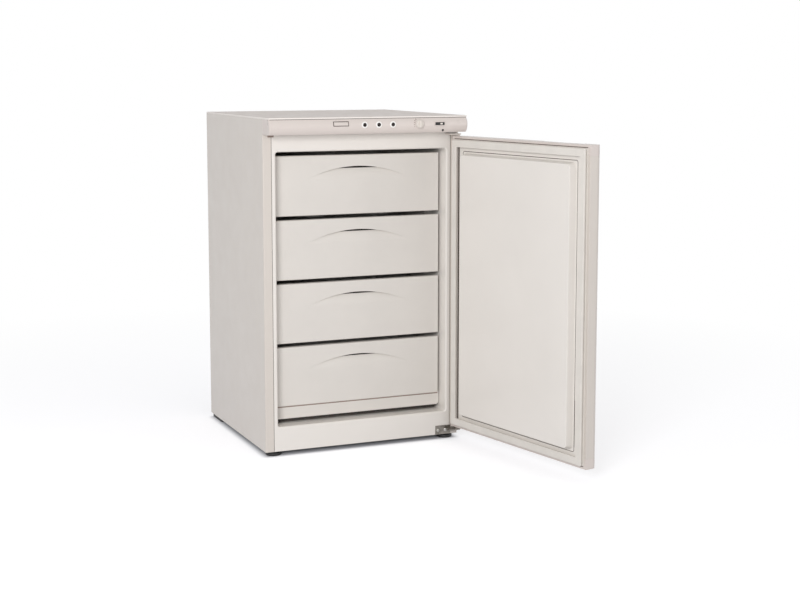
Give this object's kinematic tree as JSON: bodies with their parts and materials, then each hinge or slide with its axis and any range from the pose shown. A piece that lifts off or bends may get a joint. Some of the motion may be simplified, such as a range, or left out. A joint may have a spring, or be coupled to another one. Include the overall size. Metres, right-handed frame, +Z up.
{
  "type": "upright drawer freezer",
  "caption": "Under-counter upright freezer with a hinged insulated door, sliding plastic drawers on cooling shelves, a thermostat dial, and a condenser on its back.",
  "frame": {"origin": "on the floor under the middle of the cabinet's back edge", "axes": "+X to the hinge side, +Y to the back, +Z up"},
  "size_m": [0.641, 1.0443, 0.85],
  "materials": {
    "enamel": "smooth warm white enamel on folded sheet",
    "zinc_sheet": "zinc coated sheet",
    "liner": "thermoformed white plastic",
    "trim": "moulded warm white plastic",
    "drawer": "moulded white plastic",
    "basket": "moulded white plastic",
    "foam": "rigid insulating foam",
    "gasket": "soft white seal",
    "magnet": "magnetic strip",
    "knob": "moulded",
    "lens": "tinted lens, unlit",
    "black_plastic": "moulded",
    "hinge_steel": "plated steel",
    "black_paint": "black paint",
    "clip": "moulded",
    "bush": "moulded",
    "copper": "drawn copper",
    "shelf": "white coated tube and wire"
  },
  "bodies": {
    "cabinet": {"back_panel": "zinc_sheet", "base_panel": "zinc_sheet", "cabinet_foam": "foam", "capillary": "copper", "compressor_foot_plate": "black_paint", "compressor_mounts": "bush", "compressor_plate": "zinc_sheet", "compressor_shell": "black_paint", "condenser_brackets": "clip", "condenser_tube": "black_paint", "condenser_wires": "black_paint", "control_fascia": "trim", "cord_gland": "black_plastic", "discharge_line": "black_paint", "fascia_plug": "black_plastic", "filter_drier": "copper", "foot_socket_left": "hinge_steel", "foot_socket_right": "hinge_steel", "indicator_lens_1": "lens", "indicator_lens_2": "lens", "indicator_lens_3": "lens", "inner_liner": "liner", "left_side_panel": "enamel", "lower_hinge": "hinge_steel", "machine_room_panel": "zinc_sheet", "rear_skid": "black_plastic", "relay_cover": "black_plastic", "right_side_panel": "enamel", "shelf_coil_1": "shelf", "shelf_coil_2": "shelf", "shelf_coil_3": "shelf", "shelf_wires_1": "shelf", "shelf_wires_2": "shelf", "shelf_wires_3": "shelf", "suction_line": "copper", "switch_housing": "trim", "thermostat_body": "black_plastic", "top_panel": "zinc_sheet", "upper_hinge": "enamel", "worktop": "trim"},
    "door": {"door_skin": "enamel", "door_top_cap": "trim", "door_bottom_cap": "trim", "door_liner": "liner", "door_foam": "foam", "door_gasket": "gasket", "gasket_magnets": "magnet"},
    "drawer_1": {"drawer_front_1": "drawer", "drawer_basket_1": "basket"},
    "drawer_2": {"drawer_front_2": "drawer", "drawer_basket_2": "basket"},
    "drawer_3": {"drawer_front_3": "drawer", "drawer_basket_3": "basket"},
    "drawer_4": {"drawer_front_4": "drawer", "drawer_basket_4": "basket"},
    "knob": {"thermostat_knob": "knob"},
    "switch": {"fast_freeze_switch": "black_plastic"},
    "foot_left": {"front_foot_left": "black_plastic"},
    "foot_right": {"front_foot_right": "black_plastic"}
  },
  "joints": [
    {"name": "door_hinge", "type": "hinge", "parent": "cabinet", "child": "door", "pos_m": [0.255, -0.507, 0], "axis": [0, 0, 1], "range_deg": [-101, 34]},
    {"name": "drawer_1_slide", "type": "slide", "parent": "cabinet", "child": "drawer_1", "axis": [0, -1, 0], "range_m": [0, 0.3]},
    {"name": "drawer_2_slide", "type": "slide", "parent": "cabinet", "child": "drawer_2", "axis": [0, -1, 0], "range_m": [0, 0.3]},
    {"name": "drawer_3_slide", "type": "slide", "parent": "cabinet", "child": "drawer_3", "axis": [0, -1, 0], "range_m": [0, 0.3]},
    {"name": "drawer_4_slide", "type": "slide", "parent": "cabinet", "child": "drawer_4", "axis": [0, -1, 0], "range_m": [0, 0.15]},
    {"name": "thermostat_turn", "type": "hinge", "parent": "cabinet", "child": "knob", "pos_m": [0.13, -0.5425, 0.83], "axis": [0, -1, 0], "range_deg": [0, 270]},
    {"name": "fast_freeze_rock", "type": "hinge", "parent": "cabinet", "child": "switch", "pos_m": [0.186, -0.5385, 0.83], "axis": [0, 0, 1], "range_deg": [0, 16]},
    {"name": "foot_left_screw", "type": "hinge", "parent": "cabinet", "child": "foot_left", "pos_m": [-0.238, -0.463, 0], "axis": [0, 0, 1], "continuous": true},
    {"name": "foot_right_screw", "type": "hinge", "parent": "cabinet", "child": "foot_right", "pos_m": [0.238, -0.463, 0], "axis": [0, 0, 1], "continuous": true}
  ]
}
